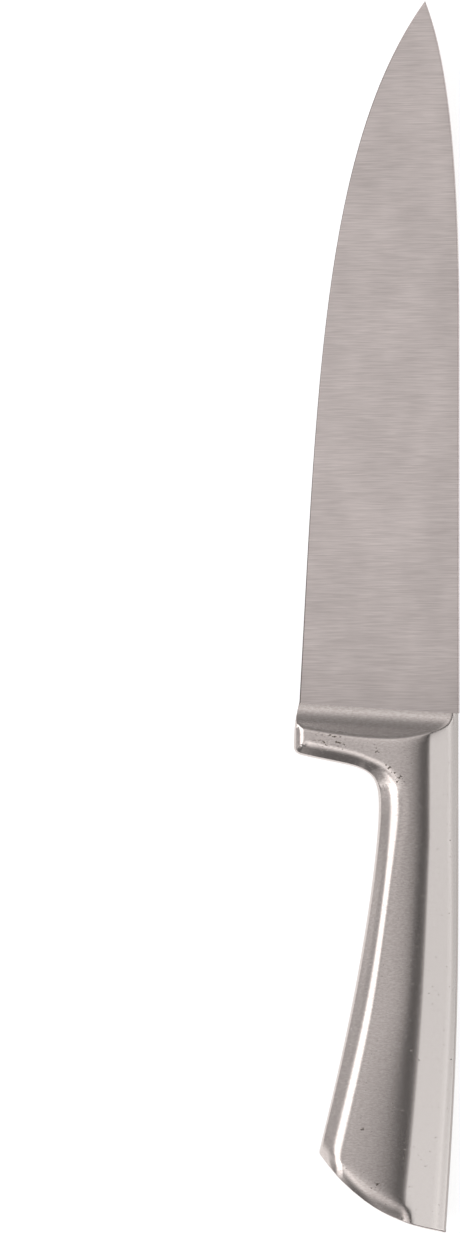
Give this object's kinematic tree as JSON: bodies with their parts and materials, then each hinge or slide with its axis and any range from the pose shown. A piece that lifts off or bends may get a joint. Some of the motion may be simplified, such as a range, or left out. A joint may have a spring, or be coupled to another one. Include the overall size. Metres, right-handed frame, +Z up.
{
  "type": "carving knife",
  "caption": "All-steel carving knife: broad pointed blade, concave bolster with finger guard, and a hollow welded handle that flares to a slanted butt.",
  "frame": {"origin": "bottom centre of the knife's bounding box, with the knife lying on its side", "axes": "+Y along the knife towards the tip, +X towards the spine, +Z up through the thickness"},
  "size_m": [0.044, 0.33, 0.0175],
  "materials": {
    "blade_steel": "brushed",
    "handle_steel": "satin",
    "weld_steel": "satin"
  },
  "bodies": {
    "root": {"blade": "blade_steel", "bolster": "handle_steel", "handle_shell_upper": "handle_steel", "handle_shell_lower": "handle_steel", "collar_weld": "weld_steel", "spine_seam_weld": "weld_steel", "belly_seam_weld": "weld_steel", "butt_seam_weld": "weld_steel", "tang_welds": "weld_steel"}
  },
  "joints": []
}
